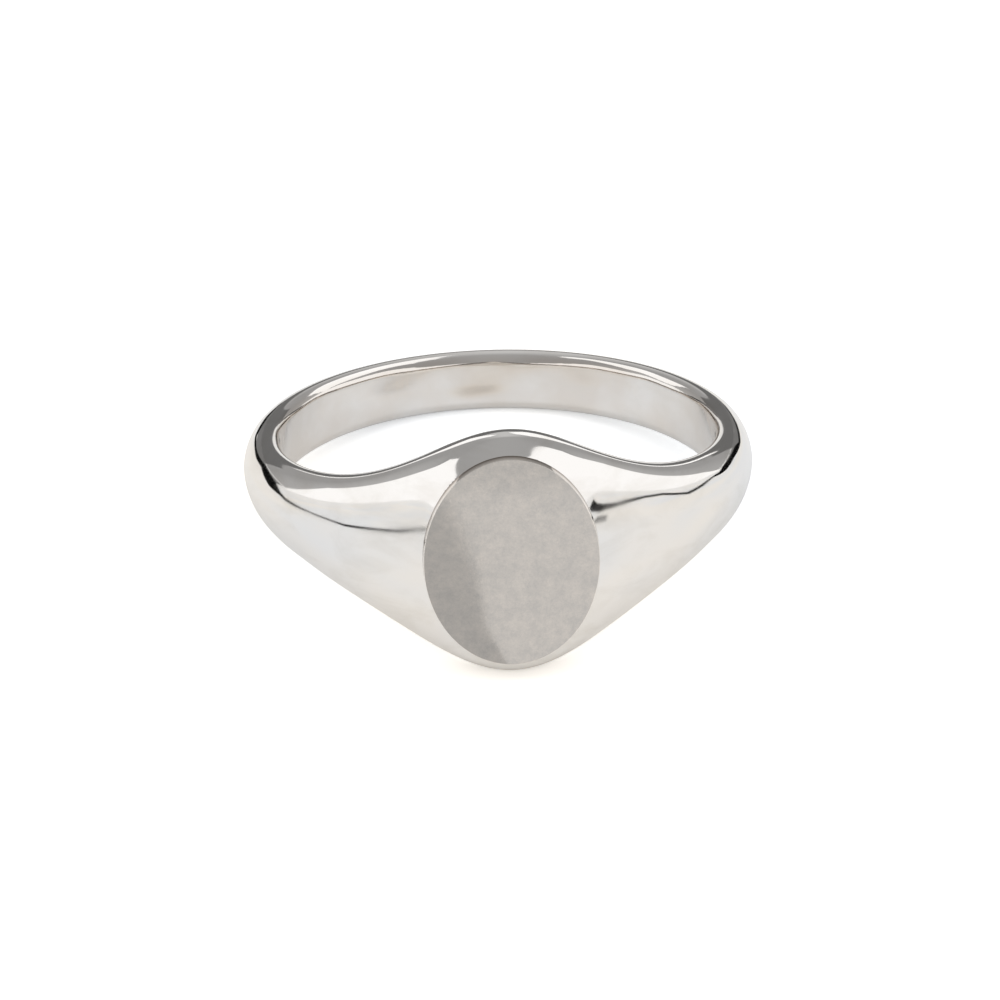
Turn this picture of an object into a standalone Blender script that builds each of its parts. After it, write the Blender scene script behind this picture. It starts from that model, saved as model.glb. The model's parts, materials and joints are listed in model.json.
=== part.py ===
"""Signet ring lying on its side: an oval table plate let into a head, two shoulders and a shank.

Metres, +Z up, the table plate towards -Y. Each piece is drawn round the finger axis, which the empty
finger_axis carries. The head is wider than the shank, so the empty leans the ring back until the lower
edge of the head and the back of the shank both touch the ground at Z = 0. The origin is on the ground,
under the middle of the ring's bounding box.
"""

import math

import bmesh
import bpy
from mathutils import Vector

MM = 0.001

# Finger hole
BORE_RADIUS = 8.25 * MM
RIM_ROUNDING = 0.45 * MM

# Wall, from the finger hole to the crown of the section
SHANK_WALL = 1.38 * MM
HEAD_WALL = 2.02 * MM
WALL_SPREAD = math.radians(34)

# Half of the ring's width along the finger
BACK_HALF_WIDTH = 1.17 * MM
SIDE_HALF_WIDTH = 1.40 * MM
HEAD_HALF_WIDTH = 4.78 * MM
WIDTH_SPREAD = math.radians(54)

# The section's outer curve is a half oval on the shank and squarer on the head: 2 is a true oval
SHANK_SQUARENESS = 1.85
HEAD_SQUARENESS = 3.2
SQUARE_ANGLE = math.radians(15)
OVAL_ANGLE = math.radians(60)

# Table plate, set a little below the middle of the head
FACE_DISTANCE = 9.89 * MM
FACE_WIDTH = 6.62 * MM
FACE_LENGTH = 8.27 * MM
PLATE_DROP = 0.12 * MM
PLATE_THICKNESS = 0.60 * MM
PLATE_FLARE = 1.005
PLATE_EDGE = 0.02 * MM

# Oval mound under the plate: the head falls away from it on every side
MOUND_TOP = 9.49 * MM
MOUND_FOOT = 7.2 * MM
MOUND_FALL = 1.0 * MM

# Soldered seams
SOLDER_GAP = 0.05 * MM
HEAD_SEAM = math.radians(22)
SHANK_SEAM = math.radians(72)

# Metals
SILVER = (0.92, 0.91, 0.90)
SATIN_SILVER = (0.74, 0.72, 0.70)
POLISHED = 0.06
SATIN = 0.35

# Facets
SECTION_STEPS = 20
ROUNDING_STEPS = 3
LOFT_STEP = math.radians(3.5)
OVAL_STEPS = 72
SMOOTH_ANGLE = math.radians(35)

CUTTER_HEIGHT = 12 * MM


def swell(angle, spread):
    """Bell of height 1 at the head's centre, fading round the ring."""
    away = abs((angle + math.pi) % (2 * math.pi) - math.pi)
    return (1 + (away / spread) ** 2) ** -3


def half_width(angle):
    """Half of the ring's width along the finger, at an angle from the head's centre."""
    taper = SIDE_HALF_WIDTH - BACK_HALF_WIDTH
    plain = SIDE_HALF_WIDTH + taper * math.cos(angle)
    return plain + (HEAD_HALF_WIDTH - SIDE_HALF_WIDTH - taper) * swell(angle, WIDTH_SPREAD)


def wall(angle):
    """Thickness from the finger hole to the crown of the section."""
    return SHANK_WALL + (HEAD_WALL - SHANK_WALL) * swell(angle, WALL_SPREAD)


def squareness(angle):
    """Exponent of the section's outer curve."""
    share = (math.cos(angle) - math.cos(OVAL_ANGLE)) / (math.cos(SQUARE_ANGLE) - math.cos(OVAL_ANGLE))
    share = min(max(share, 0), 1)
    return SHANK_SQUARENESS + (HEAD_SQUARENESS - SHANK_SQUARENESS) * share


def section(angle):
    """Closed outline of the ring's section at an angle, as (radius, height) pairs."""
    half = half_width(angle)
    power = 2 / squareness(angle)
    foot = BORE_RADIUS + RIM_ROUNDING
    points = []
    for step in range(SECTION_STEPS + 1):
        turn = math.pi * step / SECTION_STEPS
        height = math.copysign(abs(math.cos(turn)) ** power, math.cos(turn))
        crown = max(math.sin(turn), 0) ** power
        points.append((foot + (wall(angle) - RIM_ROUNDING) * crown, half * height))
    rounding = []
    for step in range(1, ROUNDING_STEPS + 1):
        turn = math.pi / 2 * step / ROUNDING_STEPS
        rounding.append((foot - RIM_ROUNDING * math.sin(turn), half - RIM_ROUNDING * (1 - math.cos(turn))))
    points += [(radius, -height) for radius, height in rounding]
    points += rounding[::-1]
    return points


def loft(start, end):
    """Solid stretch of the ring between two angles from the head's centre."""
    form = bmesh.new()
    steps = round((end - start) / LOFT_STEP)
    rows = []
    for step in range(steps + 1):
        angle = start + (end - start) * step / steps
        spots = [(r * math.sin(angle), -r * math.cos(angle), z) for r, z in section(angle)]
        rows.append([form.verts.new(spot) for spot in spots])
    for row, following in zip(rows, rows[1:]):
        for index, corner in enumerate(row):
            form.faces.new((row[index - 1], corner, following[index], following[index - 1]))
    form.faces.new(rows[0])
    form.faces.new(rows[-1])
    return form


def oval_block(flare, grow, front, back):
    """Oval block facing -Y, between two distances from the finger axis, flare times as wide at the back."""
    form = bmesh.new()
    bmesh.ops.create_cone(
        form,
        cap_ends=True,
        segments=OVAL_STEPS,
        radius1=flare,
        radius2=1,
        depth=front - back,
    )
    middle = (front + back) / 2
    for vert in form.verts:
        across, along, out = vert.co
        vert.co = (
            across * (FACE_WIDTH / 2 + grow),
            -middle - out,
            along * (FACE_LENGTH / 2 + grow) - PLATE_DROP,
        )
    return form


def add_object(name, form, collection, parent):
    """Object made from a bmesh, hung on the finger axis."""
    bmesh.ops.recalc_face_normals(form, faces=form.faces)
    if form.calc_volume(signed=True) < 0:
        bmesh.ops.reverse_faces(form, faces=form.faces)
    mesh = bpy.data.meshes.new(name)
    form.to_mesh(mesh)
    form.free()
    mesh.shade_smooth()
    mesh.set_sharp_from_angle(angle=SMOOTH_ANGLE)
    made = bpy.data.objects.new(name, mesh)
    made.parent = parent
    collection.objects.link(made)
    return made


def add_metal(piece, colour, roughness):
    """Give a piece its own metal."""
    metal = bpy.data.materials.new(piece.name)
    metal.use_nodes = True
    shader = metal.node_tree.nodes["Principled BSDF"]
    shader.inputs["Base Color"].default_value = (*colour, 1)
    shader.inputs["Metallic"].default_value = 1
    shader.inputs["Roughness"].default_value = roughness
    piece.data.materials.append(metal)


def cut(piece, cutter, operation="DIFFERENCE"):
    """Cut a piece by a cutter, which stays hidden."""
    cutter.hide_render = True
    cutter.display_type = "WIRE"
    step = piece.modifiers.new(cutter.name, "BOOLEAN")
    step.operation = operation
    step.solver = "EXACT"
    step.object = cutter


def make_shank(parts, axis):
    """Back of the ring, from shoulder to shoulder."""
    trim = SOLDER_GAP / 2 / BORE_RADIUS
    form = loft(SHANK_SEAM + trim, 2 * math.pi - SHANK_SEAM - trim)
    add_metal(add_object("shank", form, parts, axis), SILVER, POLISHED)


def make_shoulders(parts, axis):
    """Tapering sides that join the shank to the head."""
    trim = SOLDER_GAP / 2 / BORE_RADIUS
    near = HEAD_SEAM + trim
    far = SHANK_SEAM - trim
    for name, start, end in (("shoulder_left", -far, -near), ("shoulder_right", near, far)):
        add_metal(add_object(name, loft(start, end), parts, axis), SILVER, POLISHED)


def make_head(parts, cutters, axis):
    """Block that carries the table plate: a low oval mound with a seat sunk in it."""
    trim = SOLDER_GAP / 2 / BORE_RADIUS
    head = add_object("head", loft(-HEAD_SEAM + trim, HEAD_SEAM - trim), parts, axis)
    add_metal(head, SILVER, POLISHED)

    flare = 1 + (MOUND_TOP - MOUND_FOOT) / MOUND_FALL
    mound = oval_block(flare, 0, MOUND_TOP, MOUND_FOOT)
    cut(head, add_object("mound", mound, cutters, axis), "INTERSECT")

    floor = FACE_DISTANCE - PLATE_THICKNESS - SOLDER_GAP
    grow = (PLATE_FLARE - 1) * FACE_LENGTH / 2 + SOLDER_GAP
    seat = oval_block(1, grow, floor + CUTTER_HEIGHT, floor)
    cut(head, add_object("seat_cutter", seat, cutters, axis))


def make_table_plate(parts, axis):
    """Flat oval plate, its edge just broken, whose wall stands proud of the mound."""
    form = oval_block(PLATE_FLARE, 0, FACE_DISTANCE, FACE_DISTANCE - PLATE_THICKNESS)
    plate = add_object("table_plate", form, parts, axis)
    add_metal(plate, SATIN_SILVER, SATIN)
    edge = plate.modifiers.new("edge", "BEVEL")
    edge.width = PLATE_EDGE
    edge.segments = 2
    edge.limit_method = "ANGLE"


def lean_angle():
    """Lean that puts the head's lower edge and the back of the shank on one level."""
    front = [Vector((-radius, height)) for radius, height in section(0)]
    back = [Vector((radius, height)) for radius, height in section(math.pi)]
    slope = 0
    for _ in range(6):
        down = Vector((math.sin(slope), -math.cos(slope)))
        step = max(back, key=down.dot) - max(front, key=down.dot)
        slope = math.atan2(step.y, step.x)
    return slope


def lay_on_ground(axis, parts):
    """Lean the finger axis back, and move it so that the origin is under the middle of the box."""
    axis.rotation_euler.x = -lean_angle()
    bpy.context.view_layer.update()
    graph = bpy.context.evaluated_depsgraph_get()
    corners = []
    for piece in parts.objects:
        if piece.type == "MESH":
            solid = piece.evaluated_get(graph)
            corners += [solid.matrix_world @ vert.co for vert in solid.data.vertices]
    low = [min(corner[side] for corner in corners) for side in range(3)]
    high = [max(corner[side] for corner in corners) for side in range(3)]
    axis.location = (-(low[0] + high[0]) / 2, -(low[1] + high[1]) / 2, -low[2])


def main():
    for old in list(bpy.data.objects):
        bpy.data.objects.remove(old)
    parts = bpy.data.collections.new("signet_ring")
    cutters = bpy.data.collections.new("cutters")
    for collection in (parts, cutters):
        bpy.context.scene.collection.children.link(collection)
    axis = bpy.data.objects.new("finger_axis", None)
    parts.objects.link(axis)

    make_shank(parts, axis)
    make_shoulders(parts, axis)
    make_head(parts, cutters, axis)
    make_table_plate(parts, axis)
    lay_on_ground(axis, parts)


main()
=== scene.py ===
"""The looks of the signet ring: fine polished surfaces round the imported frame, in a bright light tent.

Lengths are in metres, in the frame's own axes. The ring is drawn round its finger axis, whose place and
lean come from the record's mount on the table plate.
"""

import json
import math

import bpy
import numpy as np
from mathutils import Matrix, Vector, noise


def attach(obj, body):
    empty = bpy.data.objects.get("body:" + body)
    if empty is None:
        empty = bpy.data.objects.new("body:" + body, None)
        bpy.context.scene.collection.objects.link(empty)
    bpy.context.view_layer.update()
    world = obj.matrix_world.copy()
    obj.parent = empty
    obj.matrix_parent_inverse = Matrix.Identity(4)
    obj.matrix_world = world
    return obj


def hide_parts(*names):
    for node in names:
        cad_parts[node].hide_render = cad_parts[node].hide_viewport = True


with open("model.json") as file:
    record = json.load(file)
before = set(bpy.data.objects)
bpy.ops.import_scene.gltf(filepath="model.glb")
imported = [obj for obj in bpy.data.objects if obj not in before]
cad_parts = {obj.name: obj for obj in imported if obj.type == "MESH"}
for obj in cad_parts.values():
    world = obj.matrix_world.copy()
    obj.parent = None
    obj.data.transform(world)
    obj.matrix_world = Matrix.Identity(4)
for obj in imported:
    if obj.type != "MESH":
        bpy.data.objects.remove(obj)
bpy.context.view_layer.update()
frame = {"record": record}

MM = 0.001

# The ring's sections, as the frame has them
BORE_RADIUS = 8.25 * MM
RIM_ROUNDING = 0.45 * MM
SHANK_WALL = 1.38 * MM
HEAD_WALL = 2.02 * MM
WALL_SPREAD = math.radians(34)
BACK_HALF_WIDTH = 1.17 * MM
SIDE_HALF_WIDTH = 1.40 * MM
HEAD_HALF_WIDTH = 4.78 * MM
WIDTH_SPREAD = math.radians(54)
SHANK_SQUARENESS = 1.85
HEAD_SQUARENESS = 3.2
SQUARE_ANGLE = math.radians(15)
OVAL_ANGLE = math.radians(60)
MOUND_TOP = 9.49 * MM
MOUND_FALL = 1.0 * MM
HEAD_SEAM = math.radians(22)
SHANK_SEAM = math.radians(72)

# What polishing does to them: the mound's edge blends in, and the finger hole's wall is worn in waves
MOUND_BLEND = 0.10 * MM
WEAR_SIZE = 2.0 * MM
WEAR_DEPTH = 0.05 * MM
WEAR_SQUASH = 1.6

# Table plate
FACE_DISTANCE = 9.89 * MM
FACE_WIDTH = 6.62 * MM
FACE_LENGTH = 8.27 * MM
PLATE_DROP = 0.12 * MM
FACE_CROWN = 0.05 * MM
PLATE_THICKNESS = 0.60 * MM
PLATE_FLARE = 0.02 * MM
PLATE_EDGE = 0.02 * MM
EDGE_TURN = 1.5
WALL_TILT = 30

# Facets of the fine surfaces
HEAD_ROWS = 128
SHOULDER_ROWS = 96
SHANK_ROWS = 288
CROWN_STEPS = 120
CORNER_STEPS = 16
BORE_STEPS = 24
CURVE_SAMPLES = 2000
OVAL_STEPS = 256
FACE_STEPS = 24
EDGE_STEPS = 6
WALL_STEPS = 4
NORMAL_NUDGE = 1e-4

# Camera
CAMERA_DISTANCE = 0.869
CAMERA_ELEVATION = math.radians(21.75)
CAMERA_TURN = math.radians(2.58)
CAMERA_ROLL = math.radians(-1.15)
CAMERA_OFFSET = (0.074 * MM, -1.41 * MM)
VIEW_WIDTH = 37.88 * MM
SENSOR_WIDTH = 36.0
CLIP_START = 0.01

# Colours of the metals
SILVER = (0.875, 0.86, 0.845)
SILVER_DULL = (0.82, 0.80, 0.775)
# Painted shade, mixed in clouds over the finger hole's wall
BORE_SHADE_COLOUR = (0.78, 0.735, 0.69)
SATIN_COOL = (0.745, 0.72, 0.69)
SATIN_WARM = (0.92, 0.865, 0.805)
# Dark brown painted shade in the corner at the foot of the table plate's wall
FOOT_SHADE_COLOUR = (0.16, 0.115, 0.085)

# Polished silver: roughness from hazy to bright, streaks longer round the ring, slow waves. Each range
# is the part of the noise over which a change takes place.
POLISHED_ROUGHNESS = (0.09, 0.03)
HAZE_RANGE = (0.35, 0.70)
TINT_RANGE = (0.35, 0.55)
STREAK_STRETCH = 2.5
STREAK_SCALE = 900.0
WAVE_SCALE = 450.0
WAVE_STRENGTH = 0.3
WAVE_DEPTH = 0.02 * MM
# Clouds of painted shade on the finger hole's wall, and the least share of it there
BORE_CLOUD_SCALE = 420.0
BORE_CLOUD_RANGE = (0.38, 0.60)
BORE_LEAST_SHADE = 0.35

# Satin silver: patches and grain on the face, a burnished wall, painted shade in the corner at the foot of
# the wall
SATIN_ROUGHNESS = 0.085
BURNISHED_ROUGHNESS = 0.06
FACING_RANGE = (0.90, 0.99)
PATCH_SCALE = 1900.0
PATCH_RANGE = (0.35, 0.65)
GRAIN_SCALE = 7000.0
GRAIN_RANGE = (0.3, 0.7)
GRAIN_ROUGHNESS = (0.8, 1.25)
GRAIN_STRENGTH = 0.12
GRAIN_DEPTH = 0.006 * MM
FOOT_SHADE_HEIGHT = 0.28 * MM

# Brightness of the light tent: a ridge over the middle, paler at the back than on top, between grey sides
# that grow paler to the far left and right. Starts, ends and widths are parts of its radius.
TENT_SIDE = 0.36
TENT_EDGE = 0.52
TENT_EDGE_START = 0.7
TENT_RIDGE = 0.60
TENT_TOP = 0.40
TENT_TOP_END = 0.1
TENT_RIDGE_START = 0.6
TENT_RIDGE_WIDTH = 0.40
STUDIO_TINT = (1.0, 0.99, 0.98)
TOP_LIGHT = 2.2
TOP_SPREAD = math.radians(120)

# Floor that the camera sees, and just below it the table that reflections see
FLOOR_REACH = 3.0
FLOOR_WHITENESS = 0.9
FLOOR_FILL = 0.45
TABLE_WHITENESS = 0.64
TABLE_FILL = 0.27
TABLE_DEPTH = 0.02 * MM
CLOUD_COOL = (0.97, 0.985, 1.0)
CLOUD_WARM = (1.05, 1.02, 0.97)
CLOUD_SCALE = 45.0
CLOUD_RANGE = (0.4, 0.6)

# Bright walls and dark horizon, as directions from the ring: azimuth and elevation in degrees
TENT_SPOT = (0, 0, 4.5 * MM)
TENT_DISTANCE = 0.4
LEFT_WALL = ((-62, -4), (-64, 2), (-68, 14), (-80, 18), (-96, 22), (-110, 28), (-135, 32), (-160, 18),
             (-165, -4))
RIGHT_WALL = ((58, -4), (60, 4), (71, 11), (79, 17), (85, 26), (128, 36), (150, 28), (169, 17),
              (175, -4))
WALL_LIGHT = 1.12
HORIZON = ((-38, -3), (-38, 12), (38, 12), (38, -3))
HORIZON_LIGHT = 0.16

# Small cards over the back of the ring, as directions from the back's left and right halves
BACK_SPOT = (5 * MM, 8 * MM, 2 * MM)
BACK_CARD_DISTANCE = 22 * MM
RIGHT_CARD = ((36, 38), (28, 52), (60, 64), (96, 58), (84, 38), (82, 16), (50, 28))
LEFT_CARD = ((-42, 30), (-42, 48), (-46, 62), (-74, 64), (-86, 42), (-74, 22))
CARD_LIGHT = 1.15

# Dark gap round the edge of the studio's table, from the front left round the back to the front right, in
# millimetres: points on its near side and on its far side. Most of these points, and the mark's, are the
# output of a script that traced reflections, and weren't chosen by hand.
GAP_LEFT = (((-25, -33), (-27, -36)), ((-23, -22), (-24.3, -22)), ((-23.5, -11), (-25, -11)),
            ((-29, -2), (-32, 0)), ((-32, 8.5), (-42, 14)), ((-27, 11), (-75, 42)), ((-28, 17), (-110, 90)),
            ((-30, 25), (-105, 121)), ((-21, 19), (-30, 36)), ((-17, 18), (-21, 26)),
            ((-13, 15), (-15, 21)), ((-11, 19), (-15, 40)), ((-10, 31), (-11, 55)))
GAP_RIGHT = (((16, 36), (19, 57)), ((17, 22), (21, 36)), ((20, 17), (25, 24)), ((23, 18), (51, 57)),
             ((35, 24), (101, 92)), ((44, 21), (225, 152)), ((76, 31), (106, 48)), ((52, 10), (70, 17)),
             ((41, -2), (51, -1)), ((63, -15), (86, -16)), ((55, -23), (69, -27)), ((41, -26), (53, -30)),
             ((35, -28), (44, -31)), ((33, -32), (44, -37)), ((37, -40), (50, -47)), ((46, -56), (80, -80)))
CORNER_MARK = ((25, -24), (28.5, -25.5), (29, -30), (25.5, -30))
MARK_LIGHT = 0.2
GAP_LIGHT = 0.004
GAP_HEIGHT = 0.020 * MM

# Grey foot of the backdrop, beyond the gap, in millimetres
FOOT_LEFT = ((-11, 24), (-21, 22), (-31, 30), (-60, 35), (-250, 140), (-250, 300), (-8, 300), (-10, 40))
FOOT_RIGHT = ((15, 30), (20, 21), (35, 30), (60, 40), (250, 160), (250, 300), (8, 300))
FOOT_LIGHT = 0.20
FOOT_HEIGHT = 0.010 * MM

# Shade of the camera and its stand in front of the ring, in millimetres. The deep shade's right edge was
# traced in the same way.
SHADE = ((-5, -17), (-2, -11.5), (3, -11.5), (7, -17), (13, -30), (16, -60), (20, -140), (-30, -140),
         (-16, -60), (-10, -30))
FAR_SHADE = ((16, -66), (20, -140), (-30, -140), (-16, -66))
DEEP_SHADE = ((-5, -17), (-2, -11.5), (0, -11.5), (-0.8, -20), (-0.9, -34), (-1.7, -48), (-2.5, -60),
              (-16, -62), (-10, -30))
SHADE_LIGHT = 0.64
FAR_SHADE_LIGHT = 0.54
DEEP_SHADE_LIGHT = 0.445
FAR_SHADE_HEIGHT = 0.024 * MM
DEEP_SHADE_HEIGHT = 0.030 * MM


def finger_frame():
    """Matrix from the finger axis's own frame to the frame's axes."""
    mount = frame["record"]["mounts"][0]
    out = Vector(mount["axis"]).normalized()
    lean = math.atan2(out.z, -out.y)
    turn = Matrix.Rotation(-lean, 4, "X")
    centre = Vector(mount["pos_m"]) - turn.to_3x3() @ Vector((0, -FACE_DISTANCE, -PLATE_DROP))
    return Matrix.Translation(centre) @ turn


FINGER = finger_frame()


# ---------------------------------------------------------------- shapes


def swell(angle, spread):
    """Bell of height 1 at the head's centre, fading round the ring."""
    away = abs((angle + math.pi) % (2 * math.pi) - math.pi)
    return (1 + (away / spread) ** 2) ** -3


def half_width(angle):
    """Half of the ring's width along the finger."""
    taper = SIDE_HALF_WIDTH - BACK_HALF_WIDTH
    plain = SIDE_HALF_WIDTH + taper * math.cos(angle)
    return plain + (HEAD_HALF_WIDTH - SIDE_HALF_WIDTH - taper) * swell(angle, WIDTH_SPREAD)


def wall(angle):
    """Thickness from the finger hole to the crown of the section."""
    return SHANK_WALL + (HEAD_WALL - SHANK_WALL) * swell(angle, WALL_SPREAD)


def squareness(angle):
    """Exponent of the section's outer curve."""
    share = (math.cos(angle) - math.cos(OVAL_ANGLE)) / (math.cos(SQUARE_ANGLE) - math.cos(OVAL_ANGLE))
    share = min(max(share, 0), 1)
    return SHANK_SQUARENESS + (HEAD_SQUARENESS - SHANK_SQUARENESS) * share * share * (3 - 2 * share)


def evenly(radii, heights, steps):
    """The same curve with points evenly spaced along it."""
    length = np.concatenate([[0], np.cumsum(np.hypot(np.diff(radii), np.diff(heights)))])
    stops = np.linspace(0, length[-1], steps + 1)
    return np.interp(stops, length, radii), np.interp(stops, length, heights)


def section(angle):
    """Closed outline at an angle, as an array of radii and one of heights, without its last point."""
    half = half_width(angle)
    power = 2 / squareness(angle)
    foot = BORE_RADIUS + RIM_ROUNDING
    turn = np.linspace(0, math.pi, CURVE_SAMPLES)
    heights = half * np.copysign(np.abs(np.cos(turn)) ** power, np.cos(turn))
    radii = foot + (wall(angle) - RIM_ROUNDING) * np.clip(np.sin(turn), 0, 1) ** power
    radii, heights = evenly(radii, heights, CROWN_STEPS)
    corner = np.linspace(0, math.pi / 2, CORNER_STEPS + 1)
    corner_radii = foot - RIM_ROUNDING * np.sin(corner)
    corner_heights = half - RIM_ROUNDING * (1 - np.cos(corner))
    bore = np.linspace(-corner_heights[-1], corner_heights[-1], BORE_STEPS + 1)
    level = np.full(BORE_STEPS, BORE_RADIUS)
    radii = np.concatenate([radii, corner_radii[1:], level, corner_radii[-2:0:-1]])
    heights = np.concatenate([heights, -corner_heights[1:], bore[1:], corner_heights[-2:0:-1]])
    return radii, heights


def unevenness(angle, radii, heights):
    """How far hand polishing has worn the finger hole's wall, at points of one section."""
    worn = np.zeros(len(radii))
    for spot in np.flatnonzero(radii < BORE_RADIUS + RIM_ROUNDING / 2):
        turn = Vector((math.sin(angle), math.cos(angle), 0)) * BORE_RADIUS
        place = (turn + Vector((0, 0, heights[spot] * WEAR_SQUASH))) / WEAR_SIZE
        deep = (BORE_RADIUS + RIM_ROUNDING / 2 - radii[spot]) / (RIM_ROUNDING / 2)
        worn[spot] = WEAR_DEPTH * deep * noise.noise(place)
    return worn


def ring_row(angle):
    """Points of the ring's surface at an angle, round its section, in the finger axis's frame."""
    radii, heights = section(angle)
    radii = radii + unevenness(angle, radii, heights)
    across = radii * math.sin(angle)
    out = radii * math.cos(angle)
    along = heights + PLATE_DROP
    beyond = np.maximum(np.hypot(across / (FACE_WIDTH / 2), along / (FACE_LENGTH / 2)) - 1, 0)
    over = out - MOUND_TOP + MOUND_FALL * beyond
    out = out - (over + np.sqrt(over * over + MOUND_BLEND * MOUND_BLEND)) / 2
    return np.stack([across, -out, heights], axis=1)


def row_normals(angle):
    """Normals of the same points, by small differences, so that neighbouring pieces share them."""
    along = ring_row(angle + NORMAL_NUDGE) - ring_row(angle - NORMAL_NUDGE)
    row = ring_row(angle)
    round_it = np.roll(row, -1, axis=0) - np.roll(row, 1, axis=0)
    normals = np.cross(round_it, along)
    return normals / np.linalg.norm(normals, axis=1, keepdims=True)


def add_piece(name, points, faces, normals, slot, replaced):
    """Mesh in the finger axis's frame, with its own corner normals, riding on the ring's body."""
    mesh = bpy.data.meshes.new(name)
    mesh.from_pydata([FINGER @ Vector(point) for point in points], [], faces)
    mesh.shade_smooth()
    turn = FINGER.to_3x3()
    mesh.normals_split_custom_set([turn @ Vector(normal) for normal in normals])
    piece = bpy.data.objects.new(name, mesh)
    mesh.materials.append(METALS[slot])
    bpy.context.scene.collection.objects.link(piece)
    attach(piece, "root")
    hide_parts(replaced)


def add_stretch(name, start, end, rows, replaced):
    """Closed stretch of the ring between two angles, its normals true to the whole ring."""
    angles = [start + (end - start) * step / rows for step in range(rows + 1)]
    points = np.concatenate([ring_row(angle) for angle in angles])
    smooth = np.concatenate([row_normals(angle) for angle in angles])
    count = len(points) // len(angles)
    faces = []
    for row in range(rows):
        for spot in range(count):
            after = (spot + 1) % count
            low = row * count
            high = low + count
            faces.append((low + spot, low + after, high + after, high + spot))
    normals = [smooth[corner] for face in faces for corner in face]
    for angle, base, flip in ((start, 0, 1), (end, rows * count, -1)):
        facing = (-flip * math.cos(angle), -flip * math.sin(angle), 0)
        cap = [base + spot for spot in range(count)][::-flip]
        faces.append(cap)
        normals += [facing] * count
    add_piece(name, points, faces, normals, "polished_silver", replaced)


def oval(grow, out):
    """Points round the table plate's outline, moved outwards by grow, and their outward directions."""
    half_x = FACE_WIDTH / 2
    half_z = FACE_LENGTH / 2
    turn = np.linspace(0, 2 * math.pi, OVAL_STEPS, endpoint=False)
    edge = np.stack([half_x * np.sin(turn), half_z * np.cos(turn)], axis=1)
    away = np.stack([half_z * np.sin(turn), half_x * np.cos(turn)], axis=1)
    away /= np.linalg.norm(away, axis=1, keepdims=True)
    flat = edge + grow * away
    return np.stack([flat[:, 0], np.full(OVAL_STEPS, -out), flat[:, 1]], axis=1), away


def plate_rows():
    """Rows of points from the middle of the face to the back of the wall, with each row's tilt."""
    rows = []
    for step in range(1, FACE_STEPS + 1):
        share = step / FACE_STEPS
        row, _ = oval(-PLATE_EDGE, FACE_DISTANCE)
        row[:, 0] *= share
        row[:, 2] *= share
        row[:, 1] += FACE_CROWN * share * share
        rows.append((row, 2 * FACE_CROWN * share / (FACE_WIDTH / 2)))
    top = FACE_DISTANCE - FACE_CROWN
    for step in range(1, EDGE_STEPS + 1):
        turn = math.pi / 2 * step / EDGE_STEPS
        row, _ = oval(-PLATE_EDGE * (1 - math.sin(turn)), top - PLATE_EDGE * (1 - math.cos(turn)))
        rows.append((row, math.tan(min(turn, EDGE_TURN))))
    height = PLATE_THICKNESS - FACE_CROWN - PLATE_EDGE
    for step in range(1, WALL_STEPS + 1):
        share = step / WALL_STEPS
        row, _ = oval(PLATE_FLARE * share, top - PLATE_EDGE - height * share)
        rows.append((row, WALL_TILT))
    return rows


def add_table_plate():
    """Oval plate: slightly crowned face, rounded edge, flared wall, flat back."""
    rows = plate_rows()
    _, away = oval(0, FACE_DISTANCE)
    points = [[[0, -FACE_DISTANCE, 0]]]
    smooth = [[[0, -1, 0]]]
    for row, tilt in rows:
        lean = np.stack([away[:, 0] * tilt, np.full(OVAL_STEPS, -1.0), away[:, 1] * tilt], axis=1)
        smooth.append(lean / np.linalg.norm(lean, axis=1, keepdims=True))
        points.append(row)
    points = np.concatenate(points) - (0, 0, PLATE_DROP)
    smooth = np.concatenate(smooth)
    faces = []
    for spot in range(OVAL_STEPS):
        after = (spot + 1) % OVAL_STEPS
        faces.append((0, 1 + after, 1 + spot))
        for row in range(len(rows) - 1):
            low = 1 + row * OVAL_STEPS
            high = low + OVAL_STEPS
            faces.append((low + spot, low + after, high + after, high + spot))
    normals = [smooth[corner] for face in faces for corner in face]
    last = 1 + (len(rows) - 1) * OVAL_STEPS
    faces.append([last + spot for spot in range(OVAL_STEPS)])
    normals += [(0, 1, 0)] * OVAL_STEPS
    add_piece("table_plate_fine", points, faces, normals, "satin_silver", "table_plate")


def add_ring():
    """Head, shoulders and shank, then the table plate."""
    add_stretch("head_fine", -HEAD_SEAM, HEAD_SEAM, HEAD_ROWS, "head")
    add_stretch("shoulder_left_fine", -SHANK_SEAM, -HEAD_SEAM, SHOULDER_ROWS, "shoulder_left")
    add_stretch("shoulder_right_fine", HEAD_SEAM, SHANK_SEAM, SHOULDER_ROWS, "shoulder_right")
    add_stretch("shank_fine", SHANK_SEAM, 2 * math.pi - SHANK_SEAM, SHANK_ROWS, "shank")
    add_table_plate()


# ---------------------------------------------------------------- camera


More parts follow.
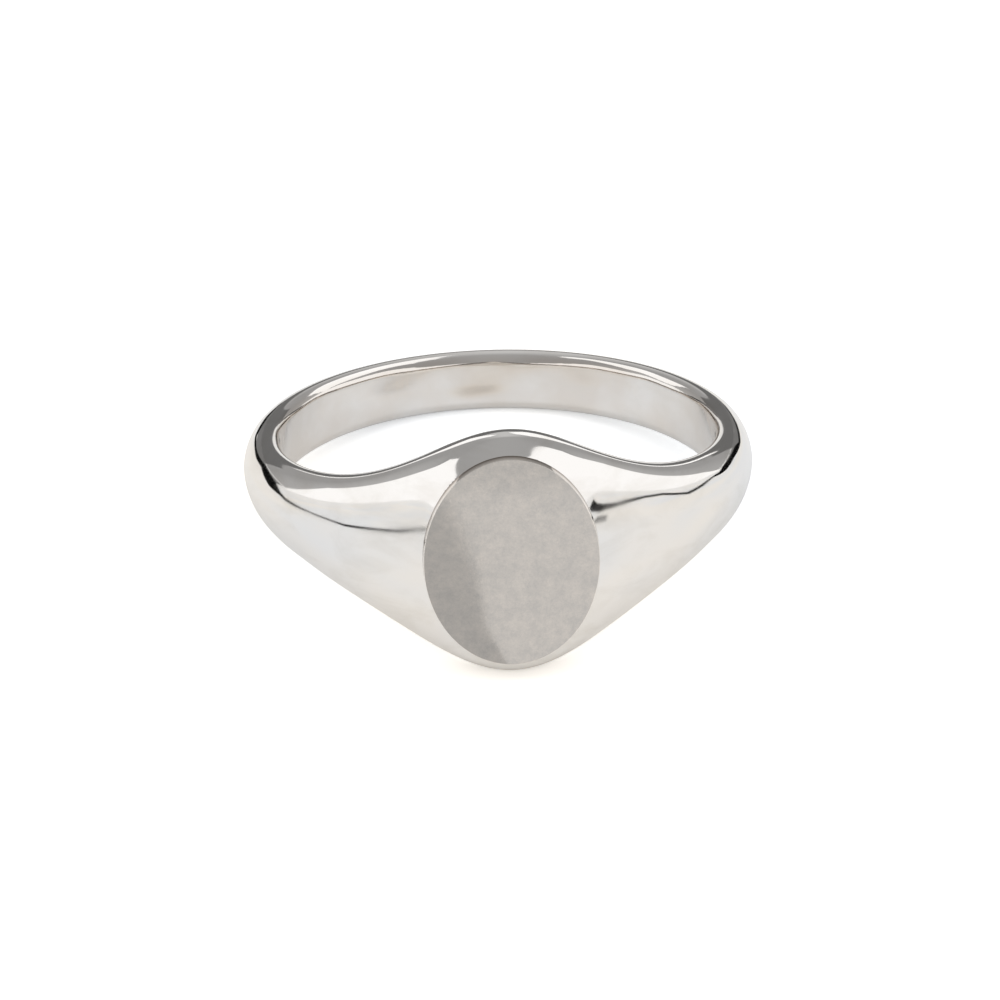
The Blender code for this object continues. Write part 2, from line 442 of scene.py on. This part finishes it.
def add_camera():
    """Long lens at the photograph's angle, set from the finger axis."""
    turn = Matrix.Rotation(-CAMERA_TURN, 3, "Z")
    forward = turn @ Vector((0, math.cos(CAMERA_ELEVATION), -math.sin(CAMERA_ELEVATION)))
    right = turn @ Vector((1, 0, 0))
    up = turn @ Vector((0, math.sin(CAMERA_ELEVATION), math.cos(CAMERA_ELEVATION)))
    roll = CAMERA_ROLL
    level = right * math.cos(roll) + up * math.sin(roll)
    up = up * math.cos(roll) - right * math.sin(roll)
    spot = level * CAMERA_OFFSET[0] + up * CAMERA_OFFSET[1] - forward * CAMERA_DISTANCE
    own = Matrix((level, up, -forward)).transposed().to_4x4()
    data = bpy.data.cameras.new("camera")
    data.sensor_width = SENSOR_WIDTH
    data.lens = SENSOR_WIDTH * CAMERA_DISTANCE / VIEW_WIDTH
    data.clip_start = CLIP_START
    camera = bpy.data.objects.new("camera", data)
    camera.matrix_world = FINGER @ Matrix.Translation(spot) @ own
    bpy.context.scene.collection.objects.link(camera)
    bpy.context.scene.camera = camera


# ---------------------------------------------------------------- node helpers


def new_material(name):
    """Node material and its node tree."""
    made = bpy.data.materials.new(name)
    made.use_nodes = True
    return made, made.node_tree


def add_node(tree, kind, **settings):
    """Node with the given properties, and with input sockets set by name."""
    node = tree.nodes.new(kind)
    for key, value in settings.items():
        if hasattr(node, key):
            setattr(node, key, value)
        else:
            node.inputs[key.replace("_", " ")].default_value = value
    return node


def finger_coordinates(tree, stretch=1):
    """Object coordinates turned so that Z runs along the finger, and stretched round the ring."""
    place = add_node(tree, "ShaderNodeTexCoord")
    turn = add_node(tree, "ShaderNodeMapping", vector_type="TEXTURE")
    turn.inputs["Location"].default_value = FINGER.translation
    turn.inputs["Rotation"].default_value = FINGER.to_euler()
    turn.inputs["Scale"].default_value = (stretch, stretch, 1)
    tree.links.new(place.outputs["Object"], turn.inputs["Vector"])
    return turn.outputs["Vector"]


def add_noise(tree, place, scale, detail, roughness, distortion=0.0):
    """Noise at a place, from 0 to 1."""
    noisy = add_node(tree, "ShaderNodeTexNoise", Scale=scale, Detail=detail, Roughness=roughness)
    noisy.inputs["Distortion"].default_value = distortion
    tree.links.new(place, noisy.inputs["Vector"])
    return noisy.outputs["Fac"]


def carry(tree, value, start, end, low=0, high=1, blend="LINEAR"):
    """Value carried from start..end to low..high, each of which is a number or a socket."""
    node = add_node(tree, "ShaderNodeMapRange", interpolation_type=blend)
    tree.links.new(value, node.inputs["Value"])
    for name, end_value in (("From Min", start), ("From Max", end), ("To Min", low), ("To Max", high)):
        if isinstance(end_value, bpy.types.NodeSocket):
            tree.links.new(end_value, node.inputs[name])
        else:
            node.inputs[name].default_value = end_value
    return node.outputs["Result"]


def two_tints(tree, value, start, end, first, second):
    """Colour that turns from the first to the second as a value goes from start to end."""
    ramp = add_node(tree, "ShaderNodeValToRGB")
    for stop, position, colour in zip(ramp.color_ramp.elements, (start, end), (first, second)):
        stop.position = position
        stop.color = (*colour, 1)
    tree.links.new(value, ramp.inputs["Fac"])
    return ramp.outputs["Color"]


def mix_in(tree, share, colour, other):
    """A colour with a share of another mixed in."""
    node = add_node(tree, "ShaderNodeMix", data_type="RGBA")
    node.inputs["B"].default_value = (*other, 1)
    tree.links.new(share, node.inputs["Factor"])
    tree.links.new(colour, node.inputs["A"])
    return node.outputs["Result"]


def add_bump(tree, height, strength, depth):
    """Bump on a material's own shader."""
    bump = add_node(tree, "ShaderNodeBump", Strength=strength, Distance=depth)
    tree.links.new(height, bump.inputs["Height"])
    tree.links.new(bump.outputs["Normal"], tree.nodes["Principled BSDF"].inputs["Normal"])


# ---------------------------------------------------------------- metals


def bore_shade_share(tree):
    """Cloudy share of painted shade: none outside, and more or less of it on the finger hole's wall."""
    place = finger_coordinates(tree)
    flat = add_node(tree, "ShaderNodeVectorMath", operation="MULTIPLY")
    flat.inputs[1].default_value = (1, 1, 0)
    tree.links.new(place, flat.inputs[0])
    radius = add_node(tree, "ShaderNodeVectorMath", operation="LENGTH")
    tree.links.new(flat.outputs["Vector"], radius.inputs[0])
    clouds = add_noise(tree, place, BORE_CLOUD_SCALE, 3.0, 0.5)
    shaded = carry(tree, clouds, *BORE_CLOUD_RANGE, BORE_LEAST_SHADE)
    outer = BORE_RADIUS + RIM_ROUNDING / 2
    inner = BORE_RADIUS + RIM_ROUNDING / 8
    return carry(tree, radius.outputs["Value"], outer, inner, 0, shaded)


def polished_silver():
    """Hand-polished silver: mirror bright, with streaks of haze and tint round the ring, and slow waves."""
    made, tree = new_material("polished_silver")
    shader = tree.nodes["Principled BSDF"]
    shader.inputs["Metallic"].default_value = 1
    place = finger_coordinates(tree, STREAK_STRETCH)
    streaks = add_noise(tree, place, STREAK_SCALE, 5.0, 0.6, 0.6)
    tint = two_tints(tree, streaks, *TINT_RANGE, SILVER_DULL, SILVER)
    # Painted shade in clouds on the finger hole's wall
    tint = mix_in(tree, bore_shade_share(tree), tint, BORE_SHADE_COLOUR)
    tree.links.new(tint, shader.inputs["Base Color"])
    rough = carry(tree, streaks, *HAZE_RANGE, *POLISHED_ROUGHNESS)
    tree.links.new(rough, shader.inputs["Roughness"])
    add_bump(tree, add_noise(tree, place, WAVE_SCALE, 2.0, 0.4), WAVE_STRENGTH, WAVE_DEPTH)
    return made


def satin_silver():
    """Rubbed silver: fine grain, warm and cool patches, a burnished wall and painted shade at its foot."""
    made, tree = new_material("satin_silver")
    shader = tree.nodes["Principled BSDF"]
    shader.inputs["Metallic"].default_value = 1
    place = add_node(tree, "ShaderNodeTexCoord")
    patches = add_noise(tree, place.outputs["Object"], PATCH_SCALE, 6.0, 0.85)
    tint = two_tints(tree, patches, *PATCH_RANGE, SATIN_COOL, SATIN_WARM)
    depth = add_node(tree, "ShaderNodeSeparateXYZ")
    tree.links.new(finger_coordinates(tree), depth.inputs["Vector"])
    # Painted shade: darkest at the foot of the wall, fading up it towards the face
    foot = carry(tree, depth.outputs["Y"], -MOUND_TOP - FOOT_SHADE_HEIGHT, -MOUND_TOP)
    tree.links.new(mix_in(tree, foot, tint, FOOT_SHADE_COLOUR), shader.inputs["Base Color"])

    facing = add_node(tree, "ShaderNodeVectorMath", operation="DOT_PRODUCT")
    facing.inputs[1].default_value = FINGER.to_3x3() @ Vector((0, -1, 0))
    tree.links.new(place.outputs["Normal"], facing.inputs[0])
    flat = carry(tree, facing.outputs["Value"], *FACING_RANGE, BURNISHED_ROUGHNESS, SATIN_ROUGHNESS)
    grain = add_noise(tree, place.outputs["Object"], GRAIN_SCALE, 4.0, 0.7)
    rough = add_node(tree, "ShaderNodeMath", operation="MULTIPLY")
    tree.links.new(flat, rough.inputs[0])
    tree.links.new(carry(tree, grain, *GRAIN_RANGE, *GRAIN_ROUGHNESS), rough.inputs[1])
    tree.links.new(rough.outputs["Value"], shader.inputs["Roughness"])
    add_bump(tree, grain, GRAIN_STRENGTH, GRAIN_DEPTH)
    return made


# ---------------------------------------------------------------- studio


def glow(name, brightness):
    """Even light of one brightness."""
    made, tree = new_material(name)
    tree.nodes.remove(tree.nodes["Principled BSDF"])
    light = add_node(tree, "ShaderNodeEmission", Strength=brightness)
    light.inputs["Color"].default_value = (*STUDIO_TINT, 1)
    tree.links.new(light.outputs["Emission"], tree.nodes["Material Output"].inputs["Surface"])
    return made


def add_card(name, corners, brightness):
    """Flat studio card that only reflections see."""
    mesh = bpy.data.meshes.new(name)
    mesh.from_pydata(corners, [], [range(len(corners))])
    mesh.materials.append(glow(name, brightness))
    card = bpy.data.objects.new(name, mesh)
    card.visible_camera = False
    card.visible_diffuse = False
    card.visible_transmission = False
    card.visible_shadow = False
    bpy.context.scene.collection.objects.link(card)


def add_sky_card(name, directions, brightness, spot=TENT_SPOT, distance=TENT_DISTANCE):
    """Card whose corners are seen from a spot in directions: azimuth 0 is +Y and 90 is +X, in degrees."""
    corners = []
    for azimuth, elevation in directions:
        turn = math.radians(azimuth)
        rise = math.radians(elevation)
        ray = Vector((math.cos(rise) * math.sin(turn), math.cos(rise) * math.cos(turn), math.sin(rise)))
        corners.append(Vector(spot) + ray * distance)
    add_card(name, corners, brightness)


def add_ground_card(name, outline, brightness, height=GAP_HEIGHT):
    """Level card just over the floor, its outline given in millimetres."""
    add_card(name, [(x * MM, y * MM, height) for x, y in outline], brightness)


def add_gap(name, sides):
    """Dark strip of floor between two lines, made of a card for each pair of points on them."""
    for step, (here, there) in enumerate(zip(sides, sides[1:])):
        add_ground_card(f"{name}_{step}", (here[0], here[1], there[1], there[0]), GAP_LIGHT)


def add_cards():
    """Bright walls and small cards, and what lies round the table: foot, gap and shades."""
    add_sky_card("wall_left", LEFT_WALL, WALL_LIGHT)
    add_sky_card("wall_right", RIGHT_WALL, WALL_LIGHT)
    add_sky_card("horizon", HORIZON, HORIZON_LIGHT)
    x, y, z = BACK_SPOT
    add_sky_card("card_right", RIGHT_CARD, CARD_LIGHT, (-x, y, z), BACK_CARD_DISTANCE)
    add_sky_card("card_left", LEFT_CARD, CARD_LIGHT, (x, y, z), BACK_CARD_DISTANCE)
    add_ground_card("foot_left", FOOT_LEFT, FOOT_LIGHT, FOOT_HEIGHT)
    add_ground_card("foot_right", FOOT_RIGHT, FOOT_LIGHT, FOOT_HEIGHT)
    add_gap("gap_left", GAP_LEFT)
    add_gap("gap_right", GAP_RIGHT)
    add_ground_card("corner_mark", CORNER_MARK, MARK_LIGHT)
    add_ground_card("shade", SHADE, SHADE_LIGHT)
    add_ground_card("far_shade", FAR_SHADE, FAR_SHADE_LIGHT, FAR_SHADE_HEIGHT)
    add_ground_card("deep_shade", DEEP_SHADE, DEEP_SHADE_LIGHT, DEEP_SHADE_HEIGHT)


def add_floor(name, whiteness, fill, depth, **seen):
    """Pale floor, seen by the camera or by reflections, with some light of its own against shadows."""
    made, tree = new_material(name)
    shader = tree.nodes["Principled BSDF"]
    place = add_node(tree, "ShaderNodeTexCoord")
    clouds = add_noise(tree, place.outputs["Object"], CLOUD_SCALE, 2.0, 0.5)
    cool = [whiteness * part for part in CLOUD_COOL]
    warm = [whiteness * part for part in CLOUD_WARM]
    tint = two_tints(tree, clouds, *CLOUD_RANGE, cool, warm)
    tree.links.new(tint, shader.inputs["Base Color"])
    tree.links.new(tint, shader.inputs["Emission Color"])
    shader.inputs["Emission Strength"].default_value = fill
    shader.inputs["Roughness"].default_value = 1
    corners = [(x * FLOOR_REACH, y * FLOOR_REACH, -depth) for x, y in ((-1, -1), (1, -1), (1, 1), (-1, 1))]
    mesh = bpy.data.meshes.new(name)
    mesh.from_pydata(corners, [], [range(4)])
    mesh.materials.append(made)
    floor = bpy.data.objects.new(name, mesh)
    for ray, on in seen.items():
        setattr(floor, f"visible_{ray}", on)
    bpy.context.scene.collection.objects.link(floor)


def add_world():
    """World that is white to the camera, and a grey tent with a paler ridge to reflections."""
    world = bpy.data.worlds.new("studio")
    bpy.context.scene.world = world
    world.use_nodes = True
    tree = world.node_tree
    place = add_node(tree, "ShaderNodeTexCoord")
    split = add_node(tree, "ShaderNodeSeparateXYZ")
    tree.links.new(place.outputs["Generated"], split.inputs["Vector"])
    side = add_node(tree, "ShaderNodeMath", operation="ABSOLUTE")
    tree.links.new(split.outputs["X"], side.inputs[0])
    side = side.outputs["Value"]
    ridge = carry(tree, split.outputs["Y"], TENT_TOP_END, TENT_RIDGE_START, TENT_TOP, TENT_RIDGE)
    edge = carry(tree, side, TENT_EDGE_START, 1, TENT_SIDE, TENT_EDGE)
    tent = tree.nodes["Background"]
    tent.inputs["Color"].default_value = (*STUDIO_TINT, 1)
    strength = carry(tree, side, 0, TENT_RIDGE_WIDTH, ridge, edge, "SMOOTHSTEP")
    tree.links.new(strength, tent.inputs["Strength"])
    white = add_node(tree, "ShaderNodeBackground", Strength=1.0)
    white.inputs["Color"].default_value = (1, 1, 1, 1)
    path = add_node(tree, "ShaderNodeLightPath")
    mix = add_node(tree, "ShaderNodeMixShader")
    tree.links.new(path.outputs["Is Camera Ray"], mix.inputs["Fac"])
    tree.links.new(tent.outputs["Background"], mix.inputs[1])
    tree.links.new(white.outputs["Background"], mix.inputs[2])
    tree.links.new(mix.outputs["Shader"], tree.nodes["World Output"].inputs["Surface"])


def add_top_light():
    """Wide soft light from above, which reflections don't see."""
    sun = bpy.data.lights.new("top_light", "SUN")
    sun.energy = TOP_LIGHT
    sun.angle = TOP_SPREAD
    light = bpy.data.objects.new("top_light", sun)
    light.visible_glossy = False
    bpy.context.scene.collection.objects.link(light)


def add_studio():
    """Tent, cards, the two floors and the light from above."""
    add_world()
    add_cards()
    add_floor("floor", FLOOR_WHITENESS, FLOOR_FILL, 0.0, glossy=False, shadow=False, diffuse=False)
    add_floor("table", TABLE_WHITENESS, TABLE_FILL, TABLE_DEPTH, camera=False)
    add_top_light()
    bpy.context.scene.view_settings.view_transform = "Standard"


METALS = {"polished_silver": polished_silver(), "satin_silver": satin_silver()}
add_ring()
add_camera()
add_studio()
